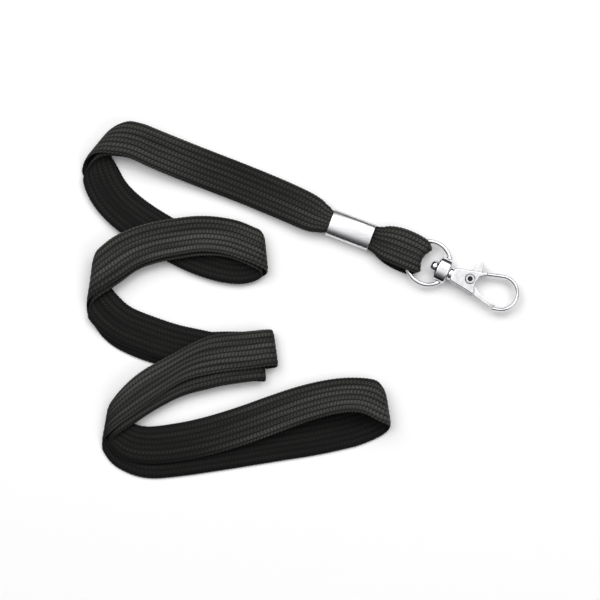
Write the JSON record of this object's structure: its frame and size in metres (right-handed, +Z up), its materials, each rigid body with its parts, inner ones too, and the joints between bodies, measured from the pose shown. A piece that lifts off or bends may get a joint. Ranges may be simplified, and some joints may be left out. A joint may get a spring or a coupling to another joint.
{
  "type": "lanyard",
  "caption": "Flat woven neck lanyard laid in loose folds, with a metal crimp, a short end loop and a swivel snap hook with a sprung gate.",
  "frame": {"origin": "on the surface it lies on, under the middle of the box round the crimp, end loop, ring and hook", "axes": "+X from the neck loop's end towards the hook, +Z up from the surface"},
  "size_m": [0.1385, 0.111, 0.0086],
  "materials": {
    "strap": "matt woven polyester",
    "crimp": "satin",
    "plated_metal": "bright nickel plate on zinc",
    "rivet_steel": "plain"
  },
  "bodies": {
    "strap": {"neck_strap_outer": "strap", "neck_strap_inner": "strap", "hook_loop_strap": "strap", "crimp_sleeve": "crimp"},
    "ring": {"swivel_ring": "plated_metal"},
    "hook": {"hook_body": "plated_metal", "gate_rivet": "rivet_steel", "gate_spring": "rivet_steel"},
    "gate": {"gate": "plated_metal"}
  },
  "joints": [
    {"name": "ring_swing", "type": "hinge", "parent": "strap", "child": "ring", "pos_m": [-0.0026, 0.00154, 0.00275], "axis": [-0.4384, -0.8988, 0], "range_deg": [-25, 25]},
    {"name": "hook_swivel", "type": "hinge", "parent": "ring", "child": "hook", "pos_m": [0.0063, -0.0028, 0.00275], "axis": [0.8988, -0.4384, 0], "continuous": true},
    {"name": "gate_open", "type": "hinge", "parent": "hook", "child": "gate", "pos_m": [0.01465, -0.00576, 0.00275], "axis": [0, 0, 1], "range_deg": [0, 35], "stiffness_Nm_per_rad": 0.004, "springref_deg": -34.38}
  ]
}
